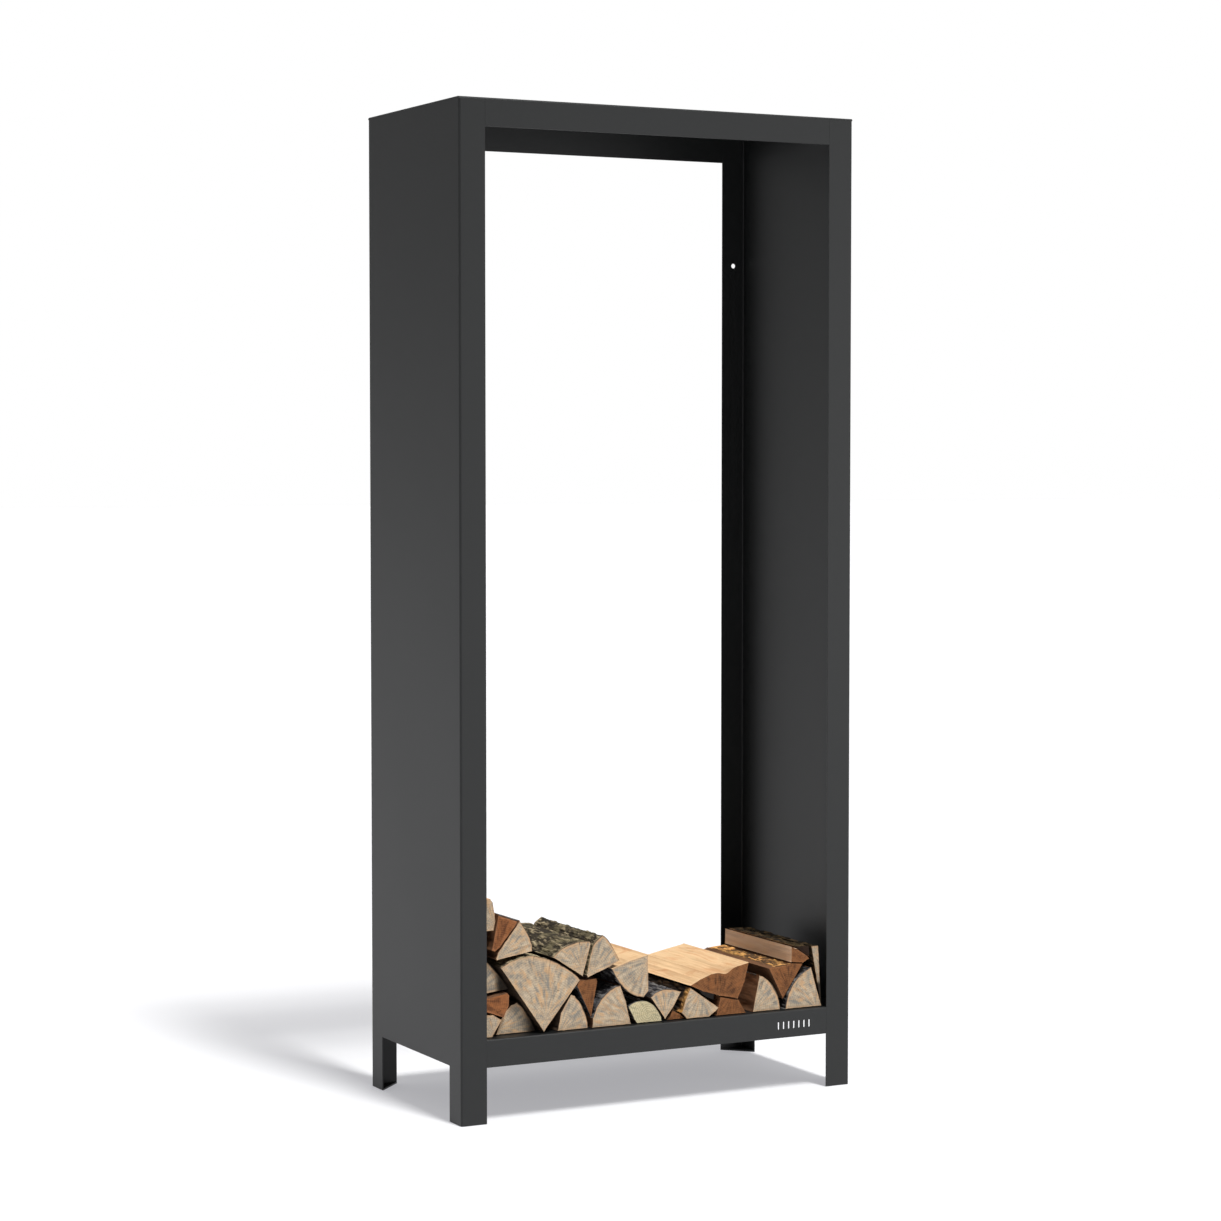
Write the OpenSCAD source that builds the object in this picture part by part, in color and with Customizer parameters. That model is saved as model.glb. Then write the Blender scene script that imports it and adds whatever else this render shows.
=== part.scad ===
/* [Rack] */
// Overall width across the outer faces of the side panels
width = 800; // [660:10:1200]
// Overall depth, front face to rear face
depth = 400; // [330:10:600]
// Overall height from the floor to the top sheet
height = 1800; // [900:10:2200]
// Steel sheet thickness of the folded panels
sheet = 2; // [1.5:0.5:3]
// Outer radius of every bend
bend_r = 4; // [3.5:0.5:6]
// Face width of the four upright stiles, and of the legs below them
stile_w = 50; // [40:1:70]
// Depth of the flanges folded down from the top sheet
rail_top = 50; // [40:1:70]
// Depth of the flanges folded down from the floor sheet
rail_floor = 50; // [40:1:70]
// Clear height under the floor rails and the side panels
leg_h = 100; // [80:1:140]

/* [Foot plates] */
// How far each triangular plate stops short of the free edges of its leg
foot_inset = 0; // [0:1:10]
// Thickness of the foot plates
foot_t = 3; // [2:0.5:6]

/* [Wall fixing] */
// Diameter of the fixing hole in each rear stile
hole_d = 9; // [5:0.5:12]
// Drop from the top of the rack to the hole centres
hole_drop = 250; // [100:5:400]
// Distance from the side panel's outer face to the hole centre
hole_in = 25; // [20:1:30]

/* [Cut mark in the floor rail] */
// Number of round-ended slots in the row
mark_n = 7; // [3:1:9]
// Height of one slot
mark_h = 14; // [8:1:20]
// Width of one slot
mark_w = 3; // [2:0.5:5]
// Centre distance between slots
mark_pitch = 11; // [8:0.5:14]
// Distance from the row's centre to the inner edge of the right stile
mark_in = 70; // [55:1:120]

/* [Logs] */
// Length of every log
log_len = 250; // [200:5:300]
// Distance from the rack's front face to the foremost log ends
log_setback = 8; // [8:1:40]

/* [Hidden] */
$fn = 64;
bend_in = bend_r - sheet;              // inner radius of every bend
bay_w = width - 2 * sheet;             // clear width between the side sheets
floor_z = leg_h + rail_floor;          // upper face of the floor sheet
wall_h = height - sheet;               // top edge of the side sheets
hw = width / 2;
hd = depth / 2;
pile_w = 796;                          // bay width the log outlines are drawn for
pile_k = bay_w / pile_w;               // the pile spreads with the bay
foot_leg = stile_w - foot_inset;
steel = "#33373a";
pale = "#b7a284";
warm = "#b0713c";
red = "#a8603c";
dark = "#6f6552";

// End outlines of the logs, [across, up] in mm from where the left side sheet
// meets the floor sheet. Every outline is convex and stays clear of the next.
end_01 = [[8, 1], [64.5, 1], [83.2, 30.4], [67.5, 40], [64.5, 41], [36, 42], [10, 34]];
end_02 = [[79, 1], [158, 1], [150.1, 19.7], [147.6, 24.5], [128.7, 51.5], [120.5, 56],
          [108.6, 52], [98.7, 43], [88.9, 27.7]];
end_03 = [[78.5, 124.7], [164.2, 2.4], [237.1, 91], [228, 100.8], [210, 114.2],
          [188.1, 126.9], [166.2, 136.1], [140.4, 142.6], [114.8, 139.1],
          [95.1, 133.5]];
end_04 = [[192.4, 1.4], [205.2, 1], [254.2, 1], [253.7, 12.3], [249.6, 27.1],
          [243.6, 41.2], [235.6, 53.6], [227.5, 61.5], [219.5, 64.9], [199.4, 33.2]];
end_05 = [[262, 1], [341, 1], [330.3, 44.1], [319.3, 73], [318.9, 73.6], [307.9, 72.4],
          [293.6, 65.3], [279.4, 52], [269.3, 36.5], [263.2, 18.9]];
end_06 = [[335.5, 33.4], [347.7, 9.5], [354.3, 1], [405.8, 1], [405.4, 6.4],
          [402.6, 13.7], [391, 30.1], [382.7, 36.7], [372.4, 41.2], [358, 42.4],
          [345.7, 39.8]];
end_07 = [[380.4, 46.9], [410.5, 3.9], [428.7, 27], [444.2, 52.3], [430.7, 58],
          [414.1, 60.6], [399.6, 58.7], [389.3, 54]];
end_08 = [[418.8, 1], [453.6, 1], [443.9, 11.1], [432.4, 17], [427.3, 16.2]];
end_09 = [[444.3, 13.3], [455, 1], [501.7, 1], [516, 10.6], [521.1, 15.4],
          [521.5, 17.1], [462, 58.4], [451, 36.3]];
end_10 = [[518.6, 1], [582, 1], [566, 26.5], [526.9, 35.5]];
end_11 = [[596.1, 1], [655.7, 1], [654.7, 13.2], [650.4, 28.5], [643.9, 42.1],
          [635.2, 54], [622.3, 64.4], [610.5, 69.1]];
end_12 = [[664.7, 1], [743.3, 1], [742.8, 3.8], [720.5, 76.7], [705.3, 68.4],
          [692.3, 59.2], [681.1, 47.1], [677.8, 42.3], [670.7, 29], [666.5, 12.5]];
end_13 = [[723.6, 115], [744.7, 1], [747.4, 1], [739.7, 115]];
end_14 = [[14, 60.4], [86.3, 34.1], [96.8, 54.4], [97.4, 73.1], [93.5, 77.9], [14, 65]];
end_15 = [[8, 72.5], [50.9, 75.8], [103.8, 81.3], [101.8, 86], [89.1, 104],
          [76.4, 119.2], [58.8, 136.6], [48, 141], [24, 142], [8, 136]];
end_16 = [[232.7, 78.7], [261.7, 17.5], [274.4, 83.5], [272.4, 89.1], [239.1, 88.7]];
end_17 = [[300.8, 105.1], [309.7, 88.1], [322.7, 69.8], [336.4, 57.7], [350.8, 50.1],
          [366.2, 47.6], [376.6, 58.6], [376.4, 125.3], [338.5, 116.9]];
end_18 = [[462.5, 61.4], [490, 48.3], [525.5, 37.4], [563.6, 29.3], [570, 41.9], [578.4, 60.7],
          [586.9, 94.8], [506.5, 79.4], [483.4, 71.1]];
end_19 = [[631.4, 79.4], [661.6, 20.3], [704.6, 82.9], [678.8, 85.8], [640, 82.8]];
end_20 = [[678.7, 87.5], [704.9, 84.5], [717.9, 91.6], [712.9, 98.5], [707.9, 102.7],
          [700.2, 107.8], [691.1, 112.4], [679.2, 116.5]];
end_21 = [[689.3, 116.1], [723.8, 93.2], [723.2, 111.8], [722.7, 114.9]];
end_22 = [[8, 148], [40, 147], [54, 152], [54, 170], [46, 186], [12, 186]];
end_23 = [[71.1, 140.3], [73.1, 137.1], [143.3, 148.5], [142.9, 159.8], [139, 172.6],
          [132.1, 184.8], [118.3, 205.4], [88.8, 168.3], [75, 150.6]];
end_24 = [[62, 156.3], [68.2, 153.2], [78, 160], [107.5, 195.2], [113, 205.7],
          [75.3, 218.8]];
end_25 = [[183.1, 134.6], [244.1, 95.3], [260.3, 152.8], [258.3, 158.3], [238.1, 159.8],
          [224.1, 158.2], [210, 153.8], [198.1, 147.5]];
end_26 = [[250.4, 97.8], [253.2, 92.7], [297.7, 109.1], [318, 118.8], [310.9, 133],
          [301.8, 148.2], [293.6, 160.5], [283.5, 168.5], [271.4, 161.3],
          [263.3, 151.9], [256.2, 128.1]];
end_27 = [[12, 189], [68.3, 190.4], [71.9, 207.3], [70.8, 219.9], [66.9, 240.6],
          [62, 247.2], [49.4, 248.9], [24, 244], [12, 222]];

// Quarter ring of sheet that turns from the -u face to the +v face; the outer
// corner of the bend is at the origin and the sheet lies towards +u and +v.
module bend() {
    intersection() {
        square(bend_r);
        translate([bend_r, bend_r]) difference() {
            circle(bend_r);
            circle(bend_in);
        }
    }
}

// Folded channel: a web of length l along u with a flange of depth f at each end.
module channel(l, f) {
    for (side = [0, 1]) translate([side * l, 0]) mirror([side, 0]) {
        bend();
        translate([0, bend_r]) square([sheet, f - bend_r]);
    }
    translate([bend_r, 0]) square([l - 2 * bend_r, sheet]);
}

// Side panel with its web at x = 0 and its stiles folded towards +x. Below the floor
// the web is cut away, which leaves four L-section legs.
module side_panel() {
    difference() {
        translate([0, hd, 0]) linear_extrude(wall_h) rotate(-90) channel(depth, stile_w);
        translate([-1, stile_w - hd, -1])
            cube([bend_r + 2, depth - 2 * stile_w, leg_h + 1]);
        // front and rear edges stop under the bends of the top panel
        for (side = [0, 1]) mirror([0, side, 0]) difference() {
            translate([-1, -hd - 1, height - bend_r]) cube([stile_w + 2, bend_r + 1, bend_r]);
            translate([-2, bend_r - hd, height - bend_r]) rotate([0, 90, 0])
                cylinder(h = stile_w + 4, r = bend_in);
        }
        // wall fixing hole in the rear stile
        translate([hole_in, hd + 1, height - hole_drop]) rotate([90, 0, 0])
            cylinder(h = sheet + 2, d = hole_d);
    }
}

// Sheet with a flange folded down along its front and rear edges, centred on x = 0.
module cross_channel(l, f, top) {
    translate([-l / 2, -hd, top]) rotate([90, 0, 90]) linear_extrude(l)
        mirror([0, 1]) channel(depth, f);
}

// Upright block with rounded corners that lies inside the rack's outline by inset.
module plan(inset, z0, z1) {
    r = bend_r - inset;
    translate([0, 0, z0]) linear_extrude(z1 - z0) union() {
        square([2 * (hw - inset - r), 2 * (hd - inset)], center = true);
        square([2 * (hw - inset), 2 * (hd - inset - r)], center = true);
        for (x = [-1, 1], y = [-1, 1]) translate([x * (hw - bend_r), y * (hd - bend_r)])
            circle(r);
    }
}

// Row of round-ended slots laser-cut through the front floor rail.
module mark_slots() {
    for (i = [0:mark_n - 1])
        translate([hw - stile_w - mark_in + (i - (mark_n - 1) / 2) * mark_pitch,
                   sheet - hd + 1, leg_h + (rail_floor - bend_r) / 2])
            rotate([90, 0, 0]) linear_extrude(sheet + 2) union() {
                square([mark_w, mark_h - mark_w], center = true);
                for (v = [-1, 1]) translate([0, v * (mark_h - mark_w) / 2])
                    circle(d = mark_w);
            }
}

// Triangular plate with its right angle in the fold of a leg.
module foot_plate() {
    translate([-hw, -hd, 0]) linear_extrude(foot_t) union() {
        polygon([[bend_r, sheet], [foot_leg, sheet], [sheet, foot_leg], [sheet, bend_r]]);
        translate([bend_r, bend_r]) circle(bend_in);
    }
}

// Split log that lies front to back, its front end `back` behind the foremost ends.
module firelog(outline, back) {
    translate([sheet - hw, log_setback + back + log_len - hd, floor_z]) rotate([90, 0, 0])
        linear_extrude(log_len) polygon([for (p = outline) [p[0] * pile_k, p[1]]]);
}

module left_side_panel() { color(steel) translate([-hw, 0, 0]) side_panel(); }

module right_side_panel() {
    color(steel) mirror([1, 0, 0]) translate([-hw, 0, 0]) side_panel();
}

module top_panel() {
    color(steel) intersection() {
        difference() {
            cross_channel(width, rail_top, height);
            // no rails where the stiles stand
            for (side = [0, 1]) mirror([side, 0, 0])
                translate([-hw - 1, -hd - 1, height - rail_top - 1])
                    cube([stile_w + 1, depth + 2, rail_top + 1 - bend_r]);
        }
        plan(0, height - rail_top - 1, height + 1);
    }
}

module floor_panel() {
    color(steel) difference() {
        union() {
            cross_channel(width - 2 * stile_w, rail_floor, floor_z);
            // each end reaches behind the stiles and is folded down along the side panel
            intersection() {
                translate([sheet - hw, hd - sheet, floor_z]) rotate([90, 0, 0])
                    linear_extrude(depth - 2 * sheet) mirror([0, 1])
                        channel(bay_w, rail_floor);
                plan(sheet, leg_h - 1, floor_z + 1);
                for (side = [0, 1]) mirror([side, 0, 0])
                    translate([-hw, -hd, leg_h - 1])
                        cube([stile_w, depth, rail_floor + 2]);
            }
        }
        mark_slots();
    }
}

module foot_plate_front_left() { color(steel) foot_plate(); }
module foot_plate_front_right() { color(steel) mirror([1, 0, 0]) foot_plate(); }
module foot_plate_rear_left() { color(steel) mirror([0, 1, 0]) foot_plate(); }
module foot_plate_rear_right() {
    color(steel) mirror([1, 0, 0]) mirror([0, 1, 0]) foot_plate();
}

module log_01() { color(pale) firelog(end_01, 4); }
module log_02() { color(pale) firelog(end_02, 20); }
module log_03() { color(pale) firelog(end_03, 0); }
module log_04() { color(pale) firelog(end_04, 3); }
module log_05() { color(pale) firelog(end_05, 2); }
module log_06() { color(pale) firelog(end_06, 4); }
module log_07() { color(pale) firelog(end_07, 1); }
module log_08() { color(red) firelog(end_08, 6); }
module log_09() { color(pale) firelog(end_09, 0); }
module log_10() { color(red) firelog(end_10, 3); }
module log_11() { color(pale) firelog(end_11, 4); }
module log_12() { color(pale) firelog(end_12, 2); }
module log_13() { color(pale) firelog(end_13, 7); }
module log_14() { color(warm) firelog(end_14, 3); }
module log_15() { color(pale) firelog(end_15, 20); }
module log_16() { color(warm) firelog(end_16, 6); }
module log_17() { color(pale) firelog(end_17, 2); }
module log_18() { color(red) firelog(end_18, 2); }
module log_19() { color(red) firelog(end_19, 5); }
module log_20() { color(red) firelog(end_20, 4); }
module log_21() { color(dark) firelog(end_21, 12); }
module log_22() { color(dark) firelog(end_22, 9); }
module log_23() { color(pale) firelog(end_23, 3); }
module log_24() { color(warm) firelog(end_24, 1); }
module log_25() { color(pale) firelog(end_25, 4); }
module log_26() { color(pale) firelog(end_26, 2); }
module log_27() { color(pale) firelog(end_27, 6); }

left_side_panel();
right_side_panel();
top_panel();
floor_panel();
foot_plate_front_left();
foot_plate_front_right();
foot_plate_rear_left();
foot_plate_rear_right();
log_01();
log_02();
log_03();
log_04();
log_05();
log_06();
log_07();
log_08();
log_09();
log_10();
log_11();
log_12();
log_13();
log_14();
log_15();
log_16();
log_17();
log_18();
log_19();
log_20();
log_21();
log_22();
log_23();
log_24();
log_25();
log_26();
log_27();
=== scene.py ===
"""Firewood log rack: folded, powder-coated steel panels around a low stack of split logs."""
import math

import bpy
import numpy as np
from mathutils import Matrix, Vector
from mathutils.geometry import delaunay_2d_cdt


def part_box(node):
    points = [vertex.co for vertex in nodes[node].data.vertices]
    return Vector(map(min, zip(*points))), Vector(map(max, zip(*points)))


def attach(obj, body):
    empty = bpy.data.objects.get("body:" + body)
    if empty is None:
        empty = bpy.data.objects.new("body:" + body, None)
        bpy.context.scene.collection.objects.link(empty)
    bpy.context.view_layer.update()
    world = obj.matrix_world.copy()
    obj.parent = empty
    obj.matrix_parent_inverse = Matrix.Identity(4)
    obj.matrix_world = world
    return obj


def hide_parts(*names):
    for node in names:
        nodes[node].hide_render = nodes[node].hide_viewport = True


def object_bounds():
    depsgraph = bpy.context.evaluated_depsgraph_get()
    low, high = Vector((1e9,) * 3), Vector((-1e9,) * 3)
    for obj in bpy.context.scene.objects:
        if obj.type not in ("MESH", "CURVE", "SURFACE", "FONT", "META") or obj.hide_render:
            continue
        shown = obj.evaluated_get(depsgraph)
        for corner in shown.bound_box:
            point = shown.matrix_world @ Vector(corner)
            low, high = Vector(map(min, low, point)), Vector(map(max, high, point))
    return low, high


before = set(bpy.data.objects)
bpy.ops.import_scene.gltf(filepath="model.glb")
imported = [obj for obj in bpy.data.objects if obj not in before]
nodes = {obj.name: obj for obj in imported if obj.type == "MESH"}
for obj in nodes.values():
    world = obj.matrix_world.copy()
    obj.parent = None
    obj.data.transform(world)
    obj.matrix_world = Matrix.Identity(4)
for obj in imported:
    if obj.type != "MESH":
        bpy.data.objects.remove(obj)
cad_box = [list(corner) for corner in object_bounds()]

# ---------------------------------------------------------------- camera
LENS_MM, SENSOR_MM = 90.344, 36
CAMERA_AT = (-2.63132, -5.05017, 1.18019)
CAMERA_DOWN, CAMERA_TURN = 2.9109, -27.5185   # degrees below level, and turned from the front

camera = bpy.data.objects.new("camera", bpy.data.cameras.new("camera"))
bpy.context.collection.objects.link(camera)
camera.data.sensor_width = SENSOR_MM
camera.data.lens = LENS_MM
camera.data.clip_end = 200
camera.location = CAMERA_AT
camera.rotation_euler = (math.radians(90 - CAMERA_DOWN), 0, math.radians(CAMERA_TURN))
bpy.context.scene.camera = camera

# ---------------------------------------------------------------- sizes, in metres
THICK = 0.002             # of every sheet
BEND_R = 0.004            # outer radius of every bend
ARC = BEND_R * math.pi / 2   # flat length that a bend's outer face takes up
BEND_CUTS = 7             # lines that divide a bend
CUT_EDGE = 0.00035        # softened edges of the cut sheets
BEVEL_ROOM = 0.00006      # keeps the softened edges of the side sheets inside the box
HOLE_UP, HOLE_IN, HOLE_R = 1.55, 0.025, 0.0045   # wall fixing holes in the rear stiles
SLOTS, SLOT_PITCH = 7, 0.011                     # row of cut marks in the front floor rail
SLOT_WIDE, SLOT_TALL, SLOTS_IN = 0.003, 0.014, 0.070

half_w, half_d, tall = cad_box[1]
plate_low, plate_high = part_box("floor_panel")
floor_top = plate_high[2]
leg_tall = plate_low[2]
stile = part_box("left_side_panel")[1][0] + half_w
rail_floor = floor_top - leg_tall
rail_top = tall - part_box("top_panel")[0][2]


# ---------------------------------------------------------------- shader arithmetic
class Num:
    """A number that varies over a surface. Arithmetic on it adds Math nodes."""

    def __init__(self, finish, socket):
        self.finish, self.socket = finish, socket

    def math(self, operation, *values):
        node = self.finish.node(
            "ShaderNodeMath", {"operation": operation}, dict(enumerate(values))
        )
        return Num(self.finish, node.outputs[0])

    def __add__(self, other):
        return self.math("ADD", self, other)

    def __sub__(self, other):
        return self.math("SUBTRACT", self, other)

    def __rsub__(self, other):
        return self.math("SUBTRACT", other, self)

    def __mul__(self, other):
        return self.math("MULTIPLY", self, other)

    def __pow__(self, other):
        return self.math("POWER", self, other)

    def __abs__(self):
        return self.math("ABSOLUTE", self)

    __radd__ = __add__
    __rmul__ = __mul__

    def between(self, start, end):
        """0 up to start, 1 from end, and a smooth step between them."""
        node = self.finish.node(
            "ShaderNodeMapRange",
            {"interpolation_type": "SMOOTHSTEP"},
            {"Value": self, "From Min": start, "From Max": end},
        )
        return Num(self.finish, node.outputs[0])


# painted shade: the near-black that darkens wood lying in the pile's shadows, between, behind and
# under the logs
PAINTED_SHADE_COLOUR = (0.010, 0.008, 0.007)
PAINTED_SHADE_SHARE = 0.94


def tint(colour, *gain):
    """A colour made lighter or darker, with one gain for all its channels or one for each."""
    gains = gain * 3 if len(gain) == 1 else gain
    return tuple(min(1, c * g) for c, g in zip(colour, gains))


class Finish:
    """One material: a Principled shader whose fixed values are set on its sockets."""

    def __init__(self, name, **fixed):
        self.material = bpy.data.materials.new(name)
        self.material.use_nodes = True
        self.tree = self.material.node_tree
        self.shader = next(n for n in self.tree.nodes if n.type == "BSDF_PRINCIPLED")
        for key, value in fixed.items():
            self.shader.inputs[key.replace("_", " ")].default_value = value

    def join(self, socket, value):
        if isinstance(value, Num):
            value = value.socket
        if isinstance(value, bpy.types.NodeSocket):
            self.tree.links.new(value, socket)
        else:
            socket.default_value = value

    def node(self, kind, settings=None, sockets=None):
        node = self.tree.nodes.new(kind)
        for key, value in (settings or {}).items():
            if key == "stops":
                ramp = node.color_ramp
                while len(ramp.elements) < len(value):
                    ramp.elements.new(0.5)
                for element, (place, colour) in zip(ramp.elements, value):
                    element.position, element.color = place, (*colour, 1)
            else:
                setattr(node, key, value)
        for key, value in (sockets or {}).items():
            self.join(node.inputs[key], value)
        return node

    def place(self, scale=(1, 1, 1), turn=(0, 0, 0), source="Object"):
        """Object or UV coordinates, scaled and turned."""
        coords = self.node("ShaderNodeTexCoord").outputs[source]
        return self.node(
            "ShaderNodeMapping", None, {"Vector": coords, "Scale": scale, "Rotation": turn}
        ).outputs[0]

    def vector(self, x, y, z):
        return self.node("ShaderNodeCombineXYZ", None, {0: x, 1: y, 2: z}).outputs[0]

    def attribute(self, name):
        return Num(self, self.node("ShaderNodeAttribute", {"attribute_name": name}).outputs["Fac"])

    def noise(self, scale, detail=3.0, rough=0.55, where=None, distort=0.0):
        node = self.node(
            "ShaderNodeTexNoise",
            None,
            {"Scale": scale, "Detail": detail, "Roughness": rough, "Distortion": distort,
             "Vector": where or self.place()},
        )
        return Num(self, node.outputs[0])

    def cell_edges(self, scale, where):
        """Distance to the nearest border of a pattern of cells."""
        node = self.node("ShaderNodeTexVoronoi", {"feature": "DISTANCE_TO_EDGE"},
                         {"Scale": scale, "Vector": where})
        return Num(self, node.outputs[0])

    def ramp(self, value, *stops):
        return self.node("ShaderNodeValToRGB", {"stops": stops}, {"Fac": value}).outputs[0]

    def blend(self, share, first, second):
        node = self.node("ShaderNodeMix", {"data_type": "RGBA"}, {0: share})
        for index, colour in ((6, first), (7, second)):
            if isinstance(colour, tuple):
                colour = (*colour, 1)
            self.join(node.inputs[index], colour)
        return node.outputs[2]

    def with_painted_shade(self, colour):
        """The colour, blackened by painted shade where the attribute for it says so."""
        return self.blend(self.attribute("gloom") * PAINTED_SHADE_SHARE, colour, PAINTED_SHADE_COLOUR)

    def finish(self, colour, roughness=None, height=None, depth=0.001, strength=1.0):
        self.join(self.shader.inputs["Base Color"], colour)
        if roughness is not None:
            self.join(self.shader.inputs["Roughness"], roughness)
        if height is not None:
            bump = self.node(
                "ShaderNodeBump", None, {"Height": height, "Distance": depth, "Strength": strength}
            )
            self.join(self.shader.inputs["Normal"], bump.outputs[0])
        return self.material


def powder_coat():
    """Anthracite powder coat: fine orange peel, faint cloudiness and a few dusty specks."""
    f = Finish("anthracite_powder_coat", Specular_IOR_Level=0.47)
    cloud = f.noise(3.0, 2)
    grain = f.noise(900.0, 2, 0.6)
    peel = f.noise(260.0, 2, 0.5)
    colour = f.ramp(cloud * 0.6 + grain * 0.4,
                    (0.3, (0.0052, 0.0060, 0.0062)), (0.7, (0.0072, 0.0081, 0.0083)))
    roughness = 0.40 + grain * 0.10 + cloud * 0.04
    return f.finish(colour, roughness, peel * 0.7 + grain * 0.3, 0.00008, 0.55)


def end_grain(name, light, dark, warm, rim, bark, slant=0.0, rings=0.035):
    """Sawn end: broad streaks and rays from the heart, faint growth rings, saw marks and checks.

    The UV map is the place from the heart in decimetres. rim is the colour beside the
    outline, where the attribute rim is the distance from the outline in millimetres, and
    bark is the colour of the line where the attribute barky is 1. slant turns the saw
    marks, and rings is the strength of the growth rings.
    """
    f = Finish(name, Specular_IOR_Level=0.2)
    parts = f.node("ShaderNodeSeparateXYZ", None, {0: f.place(source="UV")})
    x, z = (Num(f, parts.outputs[i]) for i in (0, 1))
    radius = (x * x + z * z) ** 0.5
    angle = x.math("ARCTAN2", z, x)
    wobble = f.noise(4.5, 2, 0.5)
    fine = f.noise(95.0, 4, 0.75)
    patch = f.noise(34.0, 3, 0.6)
    ring = radius.math("SINE", radius * 160 + wobble * 30 + fine * 3.0)
    # noises that run out from the heart: broad streaks, their hue, and finer rays
    broad = f.vector(angle * 3.0 + wobble * 3.0, radius * 1.5, wobble * 2.5)
    aside = f.node("ShaderNodeVectorMath", {"operation": "ADD"}, {0: broad, 1: (7.3, 1.9, 4.1)})
    streak = f.noise(2.3, 3, 0.6, broad)
    hue = f.noise(2.7, 2, 0.55, aside.outputs[0])
    ray = f.noise(2.4, 4, 0.7, f.vector(angle * 12, radius * 1.6, wobble * 3))
    tone = (streak * 0.56 + ray * 0.20 + patch * 0.24 + ring * rings
            + (fine - 0.5) * 0.50)
    colour = f.ramp(tone, (0.37, dark), (0.49, light), (0.61, tint(light, 1.36)))
    warmed = (hue * 0.8 + patch * 0.4 + (fine - 0.5) * 0.3).between(0.59, 0.76)
    colour = f.blend(warmed * 0.58, colour, warm)
    greyed = 1 - (streak * 0.5 + hue * 0.5).between(0.36, 0.47)
    colour = f.blend(greyed * 0.5, colour, tint(dark, 0.85, 0.95, 1.08))
    # a ragged border beside the outline, and a thin line of bark
    edge = f.attribute("rim")
    barky = f.attribute("barky")
    ragged = edge + (patch - 0.5) * 5.0 + (hue - 0.5) * 7.0
    colour = f.blend((1 - ragged.between(0.3, 3.2)) * (0.42 + barky * 0.35), colour, rim)
    line = 1 - (edge + (patch - 0.5) * 2.0).between(0.1, 0.9)
    colour = f.blend(line * barky, colour, bark)
    # drying checks that run out from the heart, then the saw marks
    split = f.vector(angle * 1.6, radius * 0.25, wobble)
    check = 1 - abs(f.noise(3.4, 1, 0.4, split) - 0.5).between(0.0, 0.010)
    check = check * radius.between(0.02, 0.2) * patch.between(0.45, 0.58)
    colour = f.blend(check * 0.7, colour, tint(dark, 0.3))
    saw = f.noise(60.0, 3, 0.7, f.place((0.35, 1, 5.0), (0, 0.5 + slant, 0)))
    colour = f.blend((saw * 0.7 + patch * 0.3).between(0.52, 0.64) * 0.28, colour, tint(dark, 0.7))
    height = saw * 0.5 + ray * 0.35 - check * 0.6
    return f.finish(f.with_painted_shade(colour), 0.82 + fine * 0.1, height, 0.0011, 0.75)


def split_face(name, light, dark, streak):
    """Torn face: long fibres front to back, darker streaks, a few stains and knots."""
    f = Finish(name, Specular_IOR_Level=0.3)
    fibre = f.noise(150.0, 5, 0.65, f.place((1, 0.05, 1)), 0.4)
    broad = f.noise(24.0, 3, 0.6, f.place((1, 0.22, 1)), 1.2)
    stain = f.noise(17.0, 4, 0.6, f.place((1, 0.42, 1)), 1.6)
    knot = f.noise(9.0, 2, 0.5, f.place((1.3, 0.8, 1)), 0.8)
    deep = f.attribute("deep")
    tone = fibre * 0.5 + broad * 0.5
    colour = f.ramp(tone, (0.32, dark), (0.50, light), (0.70, tint(light, 1.12)))
    colour = f.blend((stain * 0.7 + broad * 0.3).between(0.50, 0.62) * 0.65, colour, streak)
    colour = f.blend(knot.between(0.62, 0.72) * 0.5, colour, tint(streak, 0.8))
    # painted shade: the deepest torn hollows are darkened
    colour = f.blend(deep.between(0.45, 1.0) * 0.30, colour, tint(dark, 0.55))
    height = fibre * 0.7 + broad * 0.3
    return f.finish(f.with_painted_shade(colour), 0.70 + fibre * 0.16, height, 0.0012, 0.7)


def bark_skin(name, light, middle, dark, moss):
    """Bark: broken plates front to back with dark furrows, lichen patches and grit; painted shade
    darkens its sunken places.
    """
    f = Finish(name, Specular_IOR_Level=0.2)
    plates = f.cell_edges(70.0, f.place((1, 0.38, 1)))
    rough = f.noise(85.0, 5, 0.72, f.place((1, 0.42, 1)), 0.5)
    blotch = f.noise(52.0, 2, 0.5, f.place((1, 0.5, 1)), 0.3)
    grit = f.noise(420.0, 3, 0.7)
    patch = f.noise(17.0, 3, 0.6)
    deep = f.attribute("deep")
    # the (0.30 - deep) term is painted shade: sunken bark is darker
    tone = rough * 0.62 + blotch * 0.38 + (grit - 0.5) * 0.30 + (0.30 - deep) * 0.42
    colour = f.ramp(tone, (0.29, dark), (0.38, middle), (0.50, light), (0.66, tint(light, 1.45)))
    colour = f.blend(patch.between(0.48, 0.64) * 0.55, colour, f.blend(rough, middle, moss))
    colour = f.blend((1 - plates.between(0.0, 0.06)) * 0.5, colour, dark)
    height = rough * 0.5 + plates.between(0.0, 0.16) * 0.35 + grit * 0.15
    return f.finish(f.with_painted_shade(colour), 0.9, height, 0.0022, 0.9)


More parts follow.
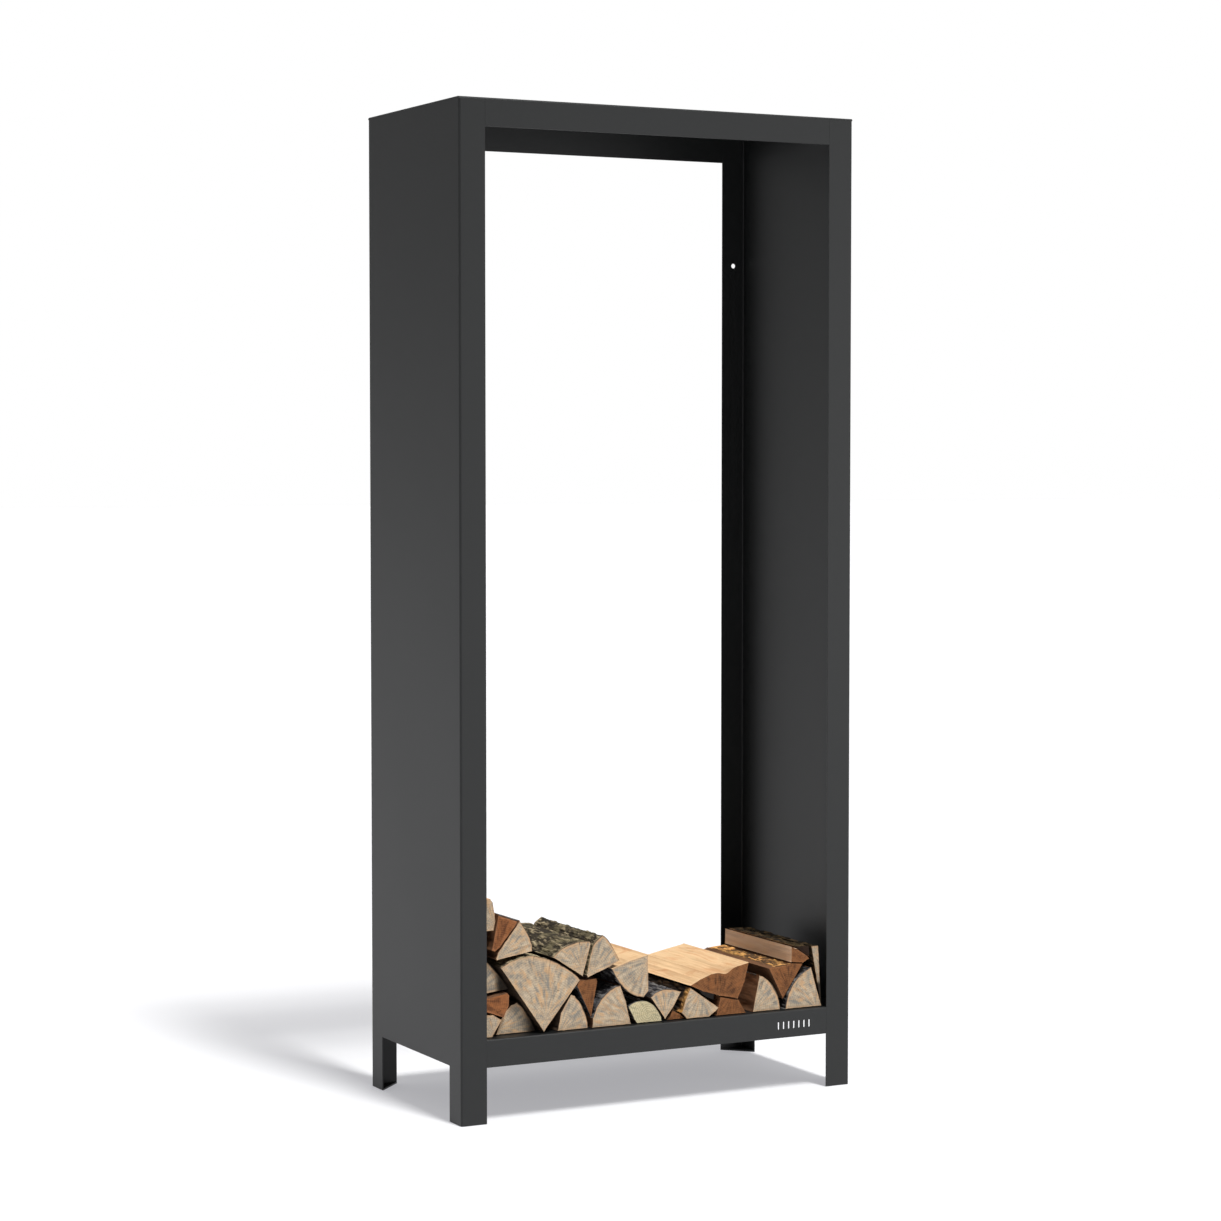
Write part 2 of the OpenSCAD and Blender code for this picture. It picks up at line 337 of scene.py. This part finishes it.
coat = powder_coat()
END = {
    "pale": end_grain("end_pale", (0.375, 0.300, 0.212), (0.225, 0.200, 0.165),
                      (0.56, 0.320, 0.145), (0.53, 0.315, 0.16), (0.06, 0.045, 0.035)),
    "young": end_grain("end_young", (0.43, 0.375, 0.235), (0.32, 0.285, 0.17), (0.50, 0.40, 0.23),
                       (0.56, 0.48, 0.30), (0.10, 0.09, 0.06), 0.0, 0.10),
    "warm": end_grain("end_alder", (0.200, 0.075, 0.027), (0.105, 0.038, 0.015),
                      (0.30, 0.105, 0.032), (0.33, 0.14, 0.06), (0.05, 0.03, 0.02), 0.5),
    "red": end_grain("end_alder_red", (0.165, 0.067, 0.025), (0.085, 0.034, 0.014),
                     (0.23, 0.085, 0.028), (0.27, 0.115, 0.045), (0.05, 0.03, 0.02), 0.5),
    # near-black ends: painted shade for log ends that lie in the pile's shadows
    "umber": end_grain("end_in_painted_shade", (0.020, 0.010, 0.006), (0.012, 0.007, 0.004),
                       (0.03, 0.014, 0.008), (0.026, 0.014, 0.008), (0.02, 0.012, 0.008)),
}
SPLIT = {
    "light": split_face("split_light", (0.85, 0.575, 0.320), (0.66, 0.375, 0.180),
                        (0.68, 0.315, 0.135)),
    "brown": split_face("split_brown", (0.20, 0.095, 0.045), (0.10, 0.045, 0.022),
                        (0.07, 0.035, 0.02)),
    "shade": split_face("split_shaded", (0.075, 0.048, 0.030), (0.035, 0.022, 0.014),
                        (0.025, 0.016, 0.010)),
    "pink": split_face("split_pink", (0.96, 0.70, 0.49), (0.74, 0.51, 0.34), (0.90, 0.55, 0.33)),
}
BARK = {
    "olive": bark_skin("bark_olive", (0.385, 0.310, 0.190), (0.215, 0.170, 0.105),
                       (0.040, 0.032, 0.022), (0.33, 0.285, 0.145)),
    "grey": bark_skin("bark_grey", (0.185, 0.178, 0.168), (0.095, 0.090, 0.090),
                      (0.014, 0.013, 0.015), (0.17, 0.17, 0.19)),
    "tawny": bark_skin("bark_tawny", (0.74, 0.38, 0.120), (0.46, 0.22, 0.075),
                       (0.085, 0.048, 0.024), (0.72, 0.42, 0.11)),
    "cocoa": bark_skin("bark_cocoa", (0.15, 0.080, 0.032), (0.080, 0.042, 0.018),
                       (0.020, 0.012, 0.007), (0.14, 0.085, 0.02)),
    # near-black bark: painted shade for bark that lies in the pile's shadows
    "umber": bark_skin("bark_in_painted_shade", (0.10, 0.062, 0.028), (0.050, 0.030, 0.014),
                       (0.010, 0.007, 0.004), (0.10, 0.07, 0.02)),
}


# ---------------------------------------------------------------- mesh helpers
def new_piece(name, points, faces, materials, sharp, indices=None):
    """A closed, smooth mesh object from an (n, 3) array of points and a list of index rows.

    Edges that turn more than sharp degrees stay crisp. indices picks each face's material.
    """
    mesh = bpy.data.meshes.new(name)
    mesh.from_pydata(points, [], [tuple(row) for face in faces for row in face.tolist()])
    for material in materials:
        mesh.materials.append(material)
    if indices is not None:
        mesh.polygons.foreach_set("material_index", np.asarray(indices, np.int32))
    mesh.polygons.foreach_set("use_smooth", np.full(len(mesh.polygons), True))
    mesh.set_sharp_from_angle(angle=math.radians(sharp))
    mesh.update()
    piece = bpy.data.objects.new(name, mesh)
    bpy.context.collection.objects.link(piece)
    return piece


# ---------------------------------------------------------------- folded sheet
def fold(t, half):
    """Carries flat places t over a bend at each end of a web of outer half-width half.

    Up to half - BEND_R the sheet is flat. It then turns a quarter circle of outer radius
    BEND_R, and after that drops straight. Returns the place across, the drop, and the
    turn's sine and cosine, which give the outer face's normal.
    """
    flat = half - BEND_R
    past = np.clip(np.abs(t) - flat, 0, None)
    turn = np.clip(past / BEND_R, 0, math.pi / 2)
    straight = np.clip(past - ARC, 0, None)
    across = np.sign(t) * (np.minimum(np.abs(t), flat) + BEND_R * np.sin(turn))
    return across, BEND_R * (1 - np.cos(turn)) + straight, np.sign(t) * np.sin(turn), np.cos(turn)


def flap(half, width):
    """Flat place of a flange's free edge, for a flange whose outer face is width tall."""
    return half - BEND_R + ARC + (width - BEND_R)


def bend_lines(half):
    """Flat places of the lines that a bend is cut into, on both sides."""
    line = half - BEND_R + np.linspace(0, ARC, BEND_CUTS)
    return np.concatenate([-line[::-1], line])


def disc(x, z, radius, count=40):
    a = np.linspace(0, 2 * math.pi, count, endpoint=False)
    return np.stack([x + radius * np.cos(a), z + radius * np.sin(a)], 1)


def slot_ring(x, z, width, height, count=20):
    """Round-ended slot: a half circle at the top and one at the bottom."""
    a = np.linspace(0, math.pi, count // 2)
    r, up = width / 2, (height - width) / 2
    top = np.stack([x + r * np.cos(a), z + up + r * np.sin(a)], 1)
    return np.concatenate([top, np.stack([x - r * np.cos(a), z - up - r * np.sin(a)], 1)])


def inside(points, ring):
    """Even-odd test of (n, 2) points against one closed ring."""
    a, b = ring, np.roll(ring, -1, 0)
    x, y = points[:, :1], points[:, 1:]
    crosses = (a[:, 1] > y) != (b[:, 1] > y)
    rise = np.where(b[:, 1] == a[:, 1], 1, b[:, 1] - a[:, 1])
    return (crosses & (x < (b[:, 0] - a[:, 0]) * (y - a[:, 1]) / rise + a[:, 0])).sum(1) % 2 == 1


def folded_sheet(name, outline, holes, lines, carry, node):
    """Cuts a flat blank, folds it and gives it the sheet's thickness.

    outline and holes are rings of flat places. lines are pairs of flat places where the
    blank is divided, so that it can bend. carry turns flat places into points of the
    outer face and their normals; the inner face lies one thickness behind them.
    """
    rings = [np.asarray(outline, float)] + holes
    flat = np.concatenate(rings + [np.asarray(pair, float) for pair in lines])
    edges, start = [], 0
    for ring in rings:
        edges += [(start + i, start + (i + 1) % len(ring)) for i in range(len(ring))]
        start += len(ring)
    edges += [(start + 2 * i, start + 2 * i + 1) for i in range(len(lines))]
    cut = delaunay_2d_cdt([Vector(p) for p in flat.tolist()], edges, [], 0, 1e-7, False)
    blank = np.array([list(v) for v in cut[0]])
    tri = np.array(cut[2])
    middle = blank[tri].mean(1)
    keep = inside(middle, rings[0])
    for hole in holes:
        keep &= ~inside(middle, hole)
    tri = tri[keep]
    used, tri = np.unique(tri, return_inverse=True)
    tri = tri.reshape(-1, 3)
    outer, normal = carry(blank[used])
    points = np.concatenate([outer, outer - normal * THICK])
    a, b, c = (outer[tri[:, i]] for i in range(3))
    flip = (np.cross(b - a, c - a) * normal[tri[:, 0]]).sum(1) < 0
    tri = np.where(flip[:, None], tri[:, ::-1], tri)
    # a side that only one triangle has lies on the blank's edge, and gets a wall
    sides = np.concatenate([tri[:, [0, 1]], tri[:, [1, 2]], tri[:, [2, 0]]])
    n = len(used)
    key = sides[:, 0] * n + sides[:, 1]
    rim = sides[~np.isin(key, sides[:, 1] * n + sides[:, 0])]
    wall = np.stack([rim[:, 1], rim[:, 0], rim[:, 0] + n, rim[:, 1] + n], 1)
    piece = new_piece(name, points, [tri, tri[:, ::-1] + n, wall], [coat], 50)
    edge = piece.modifiers.new("cut_edges", "BEVEL")
    edge.width, edge.segments = CUT_EDGE, 2
    edge.limit_method, edge.angle_limit = "ANGLE", math.radians(55)
    piece.modifiers.new("even_normals", "WEIGHTED_NORMAL").keep_sharp = False
    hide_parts(node)
    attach(piece, "rack")


def side_panel(side):
    """Side sheet with a stile folded at its front and rear edge; side is -1 or 1."""
    free = flap(half_d, stile)
    web = half_d - BEND_R
    under = tall - BEND_R
    leg = half_d - stile
    outline = [(-free, 0), (-leg, 0), (-leg, leg_tall), (leg, leg_tall), (leg, 0), (free, 0),
               (free, under), (web, under), (web, tall - THICK), (-web, tall - THICK),
               (-web, under), (-free, under)]
    hole = disc(flap(half_d, HOLE_IN), HOLE_UP, HOLE_R)
    lines = [((s, 0), (s, under)) for s in bend_lines(half_d)]

    def carry(flat):
        y, drop, s, c = fold(flat[:, 0], half_d)
        x = side * (half_w - BEVEL_ROOM - drop)
        return np.stack([x, y, flat[:, 1]], 1), np.stack([side * c, s, 0 * s], 1)

    hand = "left" if side < 0 else "right"
    folded_sheet(hand + "_side_sheet", outline, [hole], lines, carry, hand + "_side_panel")


def top_panel():
    """Top sheet with a rail folded at its front and rear edge, between the stiles."""
    free, rail = flap(half_d, rail_top), half_w - stile
    turn = flap(half_d, BEND_R)
    outline = [(-rail, -free), (rail, -free), (rail, -turn), (half_w, -turn), (half_w, turn),
               (rail, turn), (rail, free), (-rail, free), (-rail, turn), (-half_w, turn),
               (-half_w, -turn), (-rail, -turn)]
    lines = [((-half_w, s), (half_w, s)) for s in bend_lines(half_d)[1:-1]]
    lines += [((-rail, s), (rail, s)) for s in (-turn, turn)]

    def carry(flat):
        y, drop, s, c = fold(flat[:, 1], half_d)
        return np.stack([flat[:, 0], y, tall - drop], 1), np.stack([0 * s, s, c], 1)

    folded_sheet("top_sheet", outline, [], lines, carry, "top_panel")


def floor_panel():
    """Floor sheet: a rail front and rear between the stiles, and a flap down each side."""
    free, rail = flap(half_d, rail_floor), half_w - stile
    reach, deep = half_w - THICK, half_d - BEND_R
    side = flap(reach, rail_floor)
    outline = [(-rail, -free), (rail, -free), (rail, -deep), (side, -deep), (side, deep),
               (rail, deep), (rail, free), (-rail, free), (-rail, deep), (-side, deep),
               (-side, -deep), (-rail, -deep)]
    down = (rail_floor - BEND_R) / 2 - free
    first = rail - SLOTS_IN - SLOTS // 2 * SLOT_PITCH
    marks = [slot_ring(first + i * SLOT_PITCH, down, SLOT_WIDE, SLOT_TALL) for i in range(SLOTS)]
    lines = [((-rail, s), (rail, s)) for s in bend_lines(half_d)]
    lines += [((s, -deep), (s, deep)) for s in bend_lines(reach)]

    def carry(flat):
        x, drop_x, sx, cx = fold(flat[:, 0], reach)
        y, drop_y, sy, cy = fold(flat[:, 1], half_d)
        z = floor_top - drop_x - drop_y
        return np.stack([x, y, z], 1), np.stack([sx * cy, sy, cx * cy], 1)

    folded_sheet("floor_sheet", outline, marks, lines, carry, "floor_panel")


side_panel(-1)
side_panel(1)
top_panel()
floor_panel()
for name, plate in nodes.items():
    if name.startswith("foot_plate"):
        plate.data.materials.clear()
        plate.data.materials.append(coat)

# ---------------------------------------------------------------- split logs
STEP_AROUND = 0.0017   # spacing of a log's points around its outline
STEP_BACK = 0.0030     # and from front to back
CORNER_REACH = 0.004   # wear fades out this close to a corner of the outline
CAP_RINGS = 14         # rings that close each sawn end
SAW_ROOM = 0.0003      # a sawn end stands this far inside the solid, so it meets no stile
CRISP_TURN = 35        # bark is rounded where its outline turns less than this, in degrees
BARK_DEEP, TORN_DEEP = 0.0028, 0.0032   # depth that counts as the deepest
SPLIT_FACE, BARK_FACE, SAWN_FACE = 0, 1, 2   # material numbers on a log
# the pile is measured from the left sheet's inner face and the floor sheet, in millimetres
CORNER = np.array([THICK - half_w, floor_top]) * 1000


def smooth_step(share):
    """0 at 0 and 1 at 1, level at both: 3 t^2 - 2 t^3."""
    return share * share * (3 - 2 * share)


def value_noise(seed, u, v):
    """Smooth noise on a plane: random values on whole numbers, joined by smooth steps."""
    grid = np.random.default_rng(seed).random((256, 256))
    iu, iv = np.floor(u).astype(int), np.floor(v).astype(int)
    fu, fv = smooth_step(u - iu), smooth_step(v - iv)
    a, b = iu % 256, (iu + 1) % 256
    c, d = iv % 256, (iv + 1) % 256
    low_row = grid[a, c] * (1 - fu) + grid[b, c] * fu
    return low_row * (1 - fv) + (grid[a, d] * (1 - fu) + grid[b, d] * fu) * fv


def layered(seed, u, v, octaves=3, fade=0.5):
    """Sum of value noises, each twice as fine and fade times as strong as the last."""
    total, weight, sum_w = 0, 1.0, 0
    for k in range(octaves):
        total = total + weight * value_noise(seed + 17 * k, u * 2**k, v * 2**k)
        sum_w, weight = sum_w + weight, weight * fade
    return total / sum_w


def log_outline(node):
    """Corners of a log's end in the XZ plane, anticlockwise, and its ends, from its node."""
    mesh = nodes[node].data
    co = np.empty(len(mesh.vertices) * 3, np.float32)
    mesh.vertices.foreach_get("co", co)
    co = co.reshape(-1, 3).astype(float)
    flat = np.unique(np.round(co[:, [0, 2]], 5), axis=0)
    centre = flat.mean(0)
    ring = flat[np.argsort(np.arctan2(*(flat - centre).T[::-1]))]
    return ring, co[:, 1].min(), co[:, 1].max()


def walk_round(ring, arc):
    """Even steps around an end's outline.

    Returns the places, their outward normals, whether each is on bark, and how far it is
    from the nearest corner. A place is on bark where the outline faces a direction within
    arc, and the blunt joints there are rounded by a three-point mean, ten times over.
    """
    step = np.roll(ring, -1, 0) - ring
    length = np.hypot(*step.T)
    face_way = np.degrees(np.arctan2(-step[:, 0], step[:, 1]))
    first, last = arc
    barky = ((face_way - first) % 360 <= (last - first) % 360) & (first != last)
    count = np.maximum(3, np.round(length / STEP_AROUND).astype(int))
    edge = np.repeat(np.arange(len(ring)), count)
    share = np.concatenate([np.arange(c) / c for c in count])
    path = ring[edge] + step[edge] * share[:, None]
    normal = np.stack([step[:, 1], -step[:, 0]], 1)[edge] / length[edge][:, None]
    is_bark = barky[edge]
    corner = share == 0
    turned = np.abs((face_way - np.roll(face_way, 1) + 180) % 360 - 180)[edge]
    weight = np.where(is_bark & ~(corner & (turned > CRISP_TURN)), 1.0, 0.0)
    inner = (weight * np.roll(weight, 1) * np.roll(weight, -1))[:, None]
    for _ in range(10):
        soft = (np.roll(path, 1, 0) + np.roll(path, -1, 0) + 2 * path) / 4
        path = path * (1 - inner) + soft * inner
        soft_n = np.roll(normal, 1, 0) + np.roll(normal, -1, 0) + 2 * normal
        soft_n /= np.hypot(*soft_n.T)[:, None]
        normal = np.where(inner > 0, soft_n, normal)
    normal = np.where(corner[:, None], normal + np.roll(normal, 1, 0), normal)
    normal /= np.hypot(*normal.T)[:, None]
    return path, normal, is_bark, np.minimum(share * length[edge], (1 - share) * length[edge])


def worn(seed, path, y, is_bark, to_corner):
    """How far each point of a log's sides sinks, in metres: an array of places by depths.

    Split faces sink by long fibres, shallow waves and a few steps, and bark by furrows,
    which are the ridges 1 - |2 n - 1| of a noise n, and by plates. Both are calmer near
    the ends, where a last 0.35 mm rounds the rim.
    """
    walk = np.concatenate([[0], np.cumsum(np.hypot(*np.diff(path, axis=0).T))])
    s, b = np.meshgrid(walk * 1000, y * 1000, indexing="ij")
    near = np.clip(to_corner / CORNER_REACH, 0, 1)[:, None]
    fibre = layered(seed, s / 3.2, b / 70, 3, 0.6)
    waves = layered(seed + 5, s / 17, b / 60, 2)
    steps = np.clip((layered(seed + 9, s / 9, b / 120, 2) - 0.52) * 9, 0, 1)
    torn = 0.1 + 1.1 * fibre * near + 1.3 * waves * near + 0.8 * steps * near
    furrow = 1 - np.abs(2 * layered(seed + 3, s / 6.5, b / 26, 3, 0.6) - 1)
    plates = layered(seed + 4, s / 16, b / 30, 2)
    crust = 2.3 * np.clip(furrow * 2.2 - 1.0, 0, 1) + 1.1 * plates
    from_end = np.minimum(b - y[0] * 1000, y[-1] * 1000 - b)
    calm = 0.25 + 0.75 * np.clip(from_end / 14, 0, 1) ** 0.7
    return (np.where(is_bark[:, None], crust, torn) * calm
            + 0.35 * np.exp(-from_end / 0.9)) / 1000


def sawn_end(seed, row, which, shrink):
    """Rings that shrink from an end's outermost row to its hub, sunk by up to 0.6 mm."""
    hub = row.mean(0)
    cap = hub + (row[:, None] - hub) * shrink[None, :, None]
    x, z = cap[..., 0], cap[..., 2]
    rough = 0.35 * layered(seed + 30 + which, x * 400, z * 400, 3, 0.6)
    saw = 0.25 * value_noise(seed + 40, x * 90 + z * 400, z * 10)
    cap[..., 1] = row[:, None, 1] + (1 - 2 * which) * (rough + saw) / 1000
    return cap, hub


def band(start, around, along):
    """Quads of a grid of around by along points that closes on itself, from index start."""
    i, k = np.arange(around)[:, None], np.arange(along - 1)[None]
    here, beside = start + i * along + k, start + (i + 1) % around * along + k
    return np.stack([here, beside, beside + 1, here + 1], -1).reshape(-1, 4)


def log_faces(rows, is_bark):
    """Index rows of a log's faces, and the material number of each.

    Its points are the sides' grid, the front end's rings, the back end's, and two hubs.
    """
    m, wide = len(is_bark), CAP_RINGS - 1
    faces = [band(0, m, rows)[:, ::-1]]
    indices = [np.repeat(np.where(is_bark, BARK_FACE, SPLIT_FACE), rows - 1)]
    i = np.arange(m)
    j = (i + 1) % m
    for which in (0, 1):
        start = m * rows + which * m * wide
        last = (rows - 1) * which
        outer = np.stack([i * rows + last, j * rows + last, start + j * wide, start + i * wide], -1)
        hub = np.full(m, m * rows + 2 * m * wide + which)
        fan = np.stack([start + i * wide + wide - 1, start + j * wide + wide - 1, hub], -1)
        quad = np.concatenate([outer, band(start, m, wide)])
        faces += [quad[:, ::-1], fan[:, ::-1]] if which else [quad, fan]
        indices += [np.full(len(quad) + m, SAWN_FACE)]
    return faces, np.concatenate(indices)


def painted_shade_at(points, front, rules):
    """0 to 1, how much painted shade and shadow each point gets, by the rules that split_log
    describes.
    """
    dark = np.zeros(len(points))
    for *line, width in rules:
        if len(line) == 1:
            past = (points[:, 1] - front) * 1000 - line[0]
        else:
            way = math.radians(line[2])
            across = points[:, [0, 2]] * 1000 - CORNER - line[:2]
            past = across @ np.array([math.cos(way), math.sin(way)])
        dark = np.maximum(dark, smooth_step(np.clip(past / width, 0, 1)))
    return dark


def split_log(node, seed, end, face, bark, arc, heart, dent=None, gloom=(), ring=None, name=None):
    """One split log between its two sawn ends.

    The end's outline is walked at even steps and carried from front to back. Each point
    moves inwards along the outline's normal by its wear. arc is the pair of directions, in
    degrees, between which the outline is bark, and heart is the middle of the growth rings,
    in millimetres from the outline's centre. dent is a dip in the upper face at the front
    end, depth * exp(-((u - place) / half-width)^2 - back / reach), in millimetres. The rules
    in gloom paint shade: a painted shadow darkens what lies beyond a line across the end
    (place across and up, direction in degrees, width), and painted shade darkens what lies
    further back than a depth (depth, width). A near-black strip of painted shadow under a
    log has a ring and a name of its own.
    """
    own, front, back = log_outline(node)
    front, back = front + SAW_ROOM, back - SAW_ROOM
    ring = own if ring is None else (np.array(ring) + CORNER) / 1000
    path, normal, is_bark, to_corner = walk_round(ring, arc)
    m, rows = len(path), int(round((back - front) / STEP_BACK)) + 1
    y = front + (back - front) * np.linspace(0, 1, rows)
    sink = worn(seed, path, y, is_bark, to_corner)
    if dent:
        place, depth, wide, reach = dent
        dip = np.exp(-((path[:, :1] * 1000 - CORNER[0] - place) / wide) ** 2
                     - (y[None] - front) * 1000 / reach)
        sink = sink + (normal[:, 1:] > 0.6) * depth / 1000 * dip
    xz = path[:, None] - normal[:, None] * sink[..., None]
    side = np.stack([xz[..., 0], np.broadcast_to(y, (m, rows)), xz[..., 1]], -1)
    shrink = 1 - np.arange(1, CAP_RINGS) / CAP_RINGS
    caps = [sawn_end(seed, side[:, -which], which, shrink) for which in (0, 1)]
    points = np.concatenate([side.reshape(-1, 3)] + [cap.reshape(-1, 3) for cap, _ in caps]
                            + [hub[None] for _, hub in caps])
    faces, indices = log_faces(rows, is_bark)
    piece = new_piece(name or node.replace("log", "split_log"), points, faces,
                      [SPLIT[face], BARK[bark], END[end]], 38, indices)
    mesh = piece.data
    # places from the heart in decimetres, for the growth rings
    middle = ring.mean(0) + np.array(heart) / 1000
    corner = np.empty(len(mesh.loops), np.int32)
    mesh.loops.foreach_get("vertex_index", corner)
    uv = (points[:, [0, 2]] - middle) * 10
    mesh.uv_layers.new(name="heart").data.foreach_set("uv", uv[corner].ravel().astype(np.float32))
    # on the ends: millimetres from the outline, taken as 0.6 of the way to the hub, and
    # whether the outline is bark there. On the sides: depth as a share of the deepest
    to_hub = np.hypot(*(path - ring.mean(0)).T)[:, None] * 600
    rim = (to_hub * (1 - shrink)).ravel()
    barky = np.where(is_bark, 1.0, 0.0)
    on_caps = np.repeat(barky, CAP_RINGS - 1)
    most = np.where(is_bark, BARK_DEEP, TORN_DEEP)[:, None]
    values = {
        "rim": [np.zeros(m * rows), rim, rim, [30.0, 30.0]],
        "barky": [np.repeat(barky, rows), on_caps, on_caps, [0.0, 0.0]],
        "deep": [np.clip(sink / most, 0, 1).ravel(), 0 * rim, 0 * rim, [0.0, 0.0]],
        # how much painted shade and painted shadow blacken each point
        "gloom": [painted_shade_at(points, front, gloom)],
    }
    for label, parts in values.items():
        data = mesh.attributes.new(label, "FLOAT", "POINT").data
        data.foreach_set("value", np.concatenate(parts).astype(np.float32))
    if name is None:
        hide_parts(node)
    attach(piece, node)


# node: end, split face, bark, directions of the bark, heart from the outline's centre,
# and for a few a dent and rules for painted shade and painted shadow
LOGS = {
    "log_01": ("pale", "light", "grey", (100, 215), (20, -18)),
    "log_02": ("pale", "shade", "grey", (10, 92), (-36, -20), None, [(121, 53, 14, 20)]),
    "log_03": ("pale", "shade", "olive", (40, 125), (5, -85)),
    "log_04": ("pale", "shade", "grey", (-5, 60), (-30, -28)),
    "log_05": ("pale", "brown", "grey", (80, 175), (45, -38)),
    "log_06": ("young", "shade", "grey", (-10, 215), (4, -6)),
    "log_07": ("pale", "shade", "grey", (60, 140), (-2, -38)),
    "log_08": ("red", "brown", "tawny", (60, 90), (0, -20)),
    "log_09": ("pale", "brown", "tawny", (150, 165), (0, 30), None, [(14, 10)]),
    "log_10": ("red", "brown", "olive", (0, 0), (10, 30)),
    "log_11": ("pale", "brown", "grey", (-2, 70), (-36, -26)),
    "log_12": ("pale", "brown", "grey", (110, 176), (36, -38)),
    "log_13": ("pale", "brown", "umber", (-60, 210), (-10, 40), None, [(740, 50, -90, 9)]),
    "log_14": ("warm", "brown", "olive", (0, 0), (-50, 10)),
    "log_15": ("pale", "shade", "grey", (20, 125), (-30, -30), None, [(73, 110, 3, 14)]),
    "log_16": ("red", "brown", "grey", (185, 216), (6, 35)),
    "log_17": ("pale", "light", "grey", (190, 272), (36, 34)),
    "log_18": ("red", "light", "olive", (0, 0), (-10, -40), (537, 7.0, 13, 34)),
    "log_19": ("red", "brown", "tawny", (92, 104), (10, -30)),
    "log_20": ("red", "pink", "cocoa", (45, 66), (6, -14)),
    "log_21": ("umber", "brown", "umber", (-40, 160), (0, -10)),
    "log_22": ("pale", "shade", "grey", (90, 200), (20, 0)),
    "log_23": ("pale", "brown", "grey", (0, 40), (-30, -20)),
    "log_24": ("warm", "brown", "grey", (60, 75), (-10, -30)),
    "log_25": ("pale", "shade", "olive", (20, 150), (14, -32)),
    "log_26": ("pale", "shade", "olive", (20, 200), (-20, -30)),
    "log_27": ("pale", "light", "grey", (100, 200), (20, -20)),
}
for number, (node, spec) in enumerate(LOGS.items()):
    split_log(node, 101 + 61 * number, *spec)
# a near-black strip under log 18: painted shadow in the gap beneath it
UNDER_18_SHADOW = [(480, 54.5), (487, 43.8), (499, 36.5), (512, 31), (514, 42.4), (497, 47.6)]
split_log("log_18", 2203, "umber", "shade", "umber", (0, 0), (0, 0), gloom=[(-1, 1)],
          ring=UNDER_18_SHADOW, name="log_18_painted_shadow")

# ---------------------------------------------------------------- floor, sky and lights
FLOOR_REACH, FLOOR_DROP = 60, 0.0005
FLOOR_GREY, FLOOR_GLOW = 0.60, 0.375
ROOM_LEFT, ROOM_RIGHT = 0.22, 0.38            # strength of the room's light from each side
KEY_TURN, KEY_RISES = 7.3, (58.5, 63.5, 68.5)   # degrees to the right, and up
KEY_FAR, KEY_POWER, KEY_WIDE = 6, 1.1, 8

floor_mesh = bpy.data.meshes.new("studio_floor")
ends = (-FLOOR_REACH, FLOOR_REACH)
floor_mesh.from_pydata([(ends[0], ends[0], 0), (ends[1], ends[0], 0), (ends[1], ends[1], 0),
                        (ends[0], ends[1], 0)], [], [(0, 1, 2, 3)])
floor = bpy.data.objects.new("studio_floor", floor_mesh)
bpy.context.collection.objects.link(floor)
floor.location.z = -FLOOR_DROP
plain = Finish("studio_floor_white", Roughness=0.9, Specular_IOR_Level=0.1,
               Emission_Color=(0.95, 0.95, 1, 1), Emission_Strength=FLOOR_GLOW)
floor_mesh.materials.append(plain.finish((FLOOR_GREY, FLOOR_GREY, FLOOR_GREY, 1)))

# the room is plain grey light, stronger from the right; the camera sees plain white instead
world = bpy.data.worlds.new("studio")
bpy.context.scene.world = world
world.use_nodes = True
sky = world.node_tree
room = next(n for n in sky.nodes if n.type == "BACKGROUND")
room.inputs["Color"].default_value = (1, 1, 1, 1)
way = sky.nodes.new("ShaderNodeTexCoord")
parts = sky.nodes.new("ShaderNodeSeparateXYZ")
sky.links.new(way.outputs["Generated"], parts.inputs[0])
level = sky.nodes.new("ShaderNodeMapRange")
for end, reach, strength in (("Min", -1, ROOM_LEFT), ("Max", 1, ROOM_RIGHT)):
    level.inputs["From " + end].default_value = reach
    level.inputs["To " + end].default_value = strength
sky.links.new(parts.outputs[0], level.inputs["Value"])
sky.links.new(level.outputs[0], room.inputs["Strength"])
backdrop = sky.nodes.new("ShaderNodeBackground")
backdrop.inputs["Strength"].default_value = 1.0
backdrop.inputs["Color"].default_value = (1, 1, 1, 1)
seen = sky.nodes.new("ShaderNodeLightPath")
choice = sky.nodes.new("ShaderNodeMixShader")
sky.links.new(seen.outputs["Is Camera Ray"], choice.inputs[0])
sky.links.new(room.outputs[0], choice.inputs[1])
sky.links.new(backdrop.outputs[0], choice.inputs[2])
world_out = next(n for n in sky.nodes if n.type == "OUTPUT_WORLD")
sky.links.new(choice.outputs[0], world_out.inputs[0])


def lamp(name, kind, place, aim, power, **settings):
    """A lamp at place, turned towards aim."""
    data = bpy.data.lights.new(name, kind)
    data.energy = power
    for key, value in settings.items():
        setattr(data, key, value)
    light = bpy.data.objects.new(name, data)
    bpy.context.collection.objects.link(light)
    light.location = place
    light.rotation_euler = (Vector(aim) - Vector(place)).to_track_quat("-Z", "Y").to_euler()


# the key light is a tall soft source in front, a little to the right
turn = math.radians(KEY_TURN)
for name, degrees in zip(("key_low", "key_middle", "key_high"), KEY_RISES):
    rise = math.radians(degrees)
    place = (KEY_FAR * math.sin(turn) * math.cos(rise), -KEY_FAR * math.cos(turn) * math.cos(rise),
             KEY_FAR * math.sin(rise))
    lamp(name, "SUN", place, (0, 0, 0), KEY_POWER, angle=math.radians(KEY_WIDE))
lamp("front_softbox", "AREA", (3.2, -4.6, 0.9), (0, 0, 0.9), 50, shape="SQUARE", size=3.6)

bpy.context.scene.view_settings.view_transform = "Standard"
bpy.context.scene.view_settings.look = "None"
